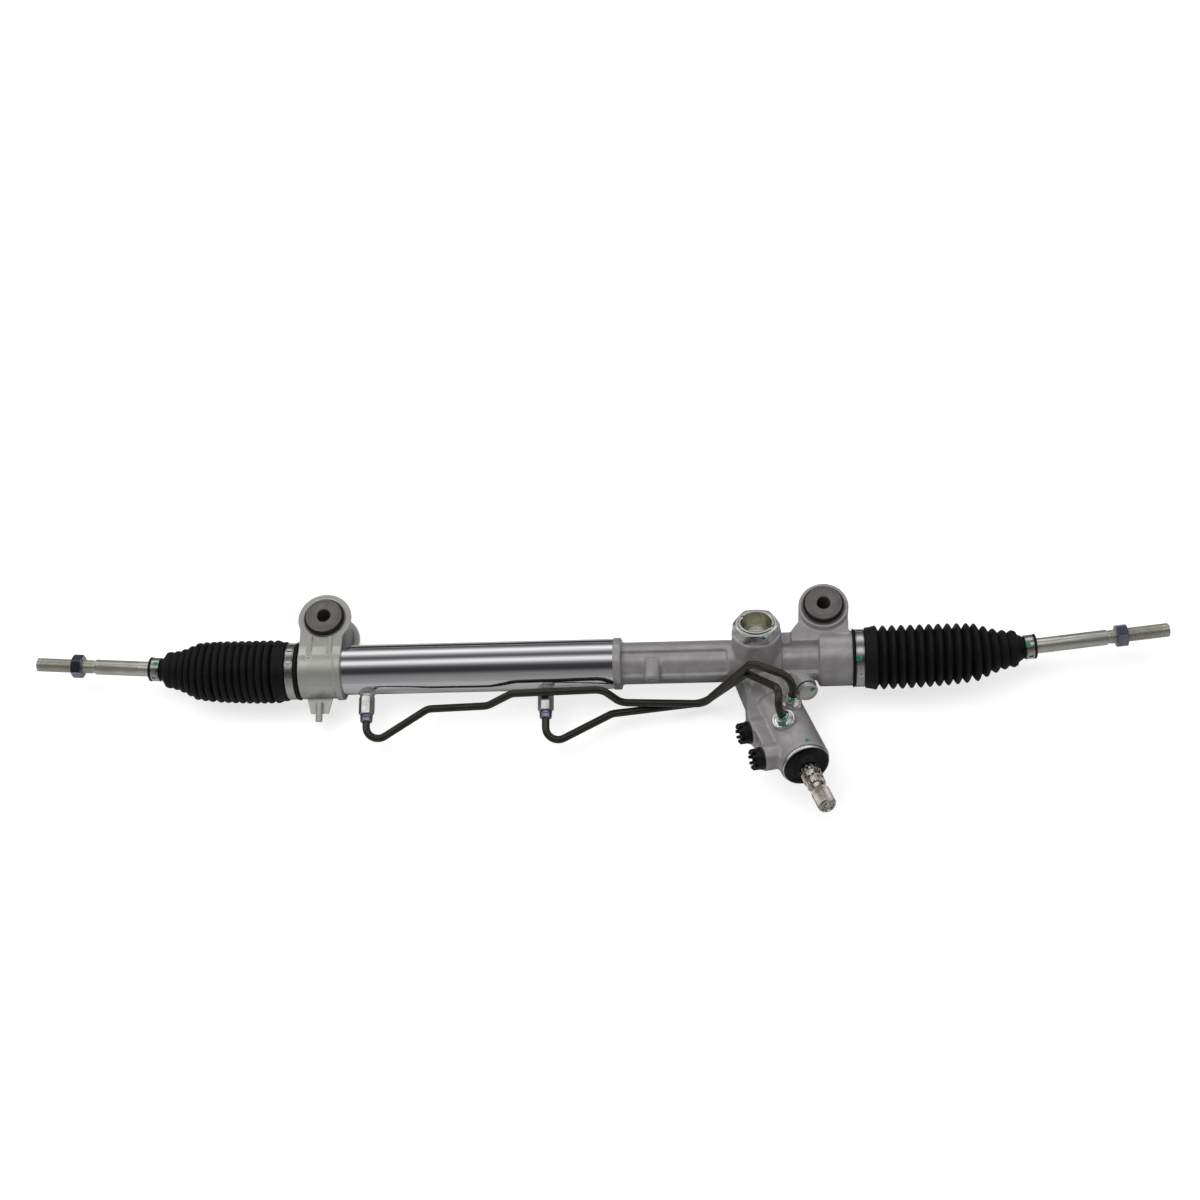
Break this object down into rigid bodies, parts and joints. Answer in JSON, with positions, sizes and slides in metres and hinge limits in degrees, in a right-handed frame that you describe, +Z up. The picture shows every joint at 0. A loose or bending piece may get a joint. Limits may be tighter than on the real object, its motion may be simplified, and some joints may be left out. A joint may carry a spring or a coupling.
{
  "type": "steering rack",
  "caption": "Hydraulic power steering rack with cylinder tube, cast gear housing and valve tower, bellows boots, tie rods, transfer pipes and two rubber mount bushes.",
  "frame": {"origin": "midway between the two mount bush bolt axes, at the height of the rack axis", "axes": "+X along the rack towards the pinion end, +Z up along the mount bolts, +Y away from the valve"},
  "size_m": [1.1971, 0.2712, 0.1237],
  "materials": {
    "cast_aluminium": "as-cast, matt",
    "bracket_steel": "satin plated sheet",
    "polished_steel": "polished, mirror bands",
    "bush_steel": "turned, dull",
    "bush_rubber": "matt black",
    "bright_zinc": "bright zinc",
    "plug_zinc": "zinc, satin",
    "boot_rubber": "matt black",
    "stainless_band": "stainless",
    "pipe_coating": "dark olive, glossy",
    "cap_plastic": "black moulded",
    "cover_rubber": "black",
    "rod_steel": "phosphated steel",
    "shaft_steel": "ground steel",
    "inner_aluminium": "machined",
    "liner_plastic": "natural plastic"
  },
  "bodies": {
    "housing": {"bracket_tab": "bracket_steel", "cylinder_tube": "polished_steel", "dust_cover": "cover_rubber", "end_stopper": "inner_aluminium", "gear_housing": "cast_aluminium", "guide_lock_nut": "bright_zinc", "guide_plug": "plug_zinc", "guide_spring": "shaft_steel", "inner_seal": "inner_aluminium", "input_seal": "cover_rubber", "left_boot": "boot_rubber", "left_boot_clamp": "stainless_band", "left_bracket": "bracket_steel", "left_bush_rubber": "bush_rubber", "left_bush_shell": "bush_steel", "left_bush_sleeve": "bush_steel", "left_cylinder_nut": "bright_zinc", "left_pipe": "pipe_coating", "left_port_boss": "bright_zinc", "left_valve_nut": "bright_zinc", "lower_bearing": "shaft_steel", "rack_bush": "liner_plastic", "rack_guide": "inner_aluminium", "retaining_ring": "shaft_steel", "right_boot": "boot_rubber", "right_boot_clamp": "stainless_band", "right_bush_rubber": "bush_rubber", "right_bush_shell": "bush_steel", "right_bush_sleeve": "bush_steel", "right_cylinder_nut": "bright_zinc", "right_pipe": "pipe_coating", "right_port_boss": "bright_zinc", "right_valve_nut": "bright_zinc", "side_plug": "plug_zinc", "side_plug_seal": "cover_rubber", "upper_bearing": "shaft_steel"},
    "rack": {"rack_bar": "shaft_steel", "piston": "inner_aluminium", "piston_ring": "liner_plastic", "left_ball_socket": "rod_steel", "right_ball_socket": "rod_steel", "left_lock_washer": "rod_steel", "right_lock_washer": "rod_steel"},
    "pinion": {"pinion": "shaft_steel", "valve_sleeve": "shaft_steel", "torsion_bar": "shaft_steel"},
    "input_shaft": {"input_shaft": "shaft_steel"},
    "left_ball_seat": {"left_ball_seat": "liner_plastic"},
    "right_ball_seat": {"right_ball_seat": "liner_plastic"},
    "left_tie_rod": {"left_tie_rod": "rod_steel", "left_lock_nut": "rod_steel", "left_boot_clip": "stainless_band"},
    "right_tie_rod": {"right_tie_rod": "rod_steel", "right_lock_nut": "rod_steel", "right_boot_clip": "stainless_band"},
    "pressure_cap": {"pressure_port_cap": "cap_plastic"},
    "return_cap": {"return_port_cap": "cap_plastic"}
  },
  "joints": [
    {"name": "rack_slide", "type": "slide", "parent": "housing", "child": "rack", "axis": [1, 0, 0], "range_m": [-0.088, 0.046], "deforming": ["left_boot", "right_boot"]},
    {"name": "pinion_turn", "type": "hinge", "parent": "housing", "child": "pinion", "pos_m": [0.1925, -0.05457, -0.0148], "axis": [0.309, -0.8799, 0.3609], "range_deg": [-350, 668]},
    {"name": "valve_twist", "type": "hinge", "parent": "pinion", "child": "input_shaft", "pos_m": [0.2234, -0.14256, 0.02129], "axis": [0.309, -0.8799, 0.3609], "range_deg": [-7, 7], "stiffness_Nm_per_rad": 60},
    {"name": "left_swing", "type": "hinge", "parent": "rack", "child": "left_ball_seat", "pos_m": [-0.358, -0.0485, 0], "axis": [0, 0, 1], "range_deg": [-14, 22]},
    {"name": "left_lift", "type": "hinge", "parent": "left_ball_seat", "child": "left_tie_rod", "pos_m": [-0.358, -0.0485, 0], "axis": [0.0698, 0.9976, 0], "range_deg": [-24, 24]},
    {"name": "right_swing", "type": "hinge", "parent": "rack", "child": "right_ball_seat", "pos_m": [0.4, -0.0485, 0], "axis": [0, 0, 1], "range_deg": [-24.3, 11.7]},
    {"name": "right_lift", "type": "hinge", "parent": "right_ball_seat", "child": "right_tie_rod", "pos_m": [0.4, -0.0485, 0], "axis": [-0.1097, 0.994, 0], "range_deg": [-24, 24]},
    {"name": "pressure_cap_pull", "type": "slide", "parent": "housing", "child": "pressure_cap", "axis": [-0.9474, -0.2517, 0.1974], "range_m": [0, 0.03]},
    {"name": "return_cap_pull", "type": "slide", "parent": "housing", "child": "return_cap", "axis": [-0.9474, -0.2517, 0.1974], "range_m": [0, 0.03]}
  ],
  "couplings": [
    {"joint": "pinion_turn", "follows": "rack_slide", "rad_per_m": -132.09}
  ]
}
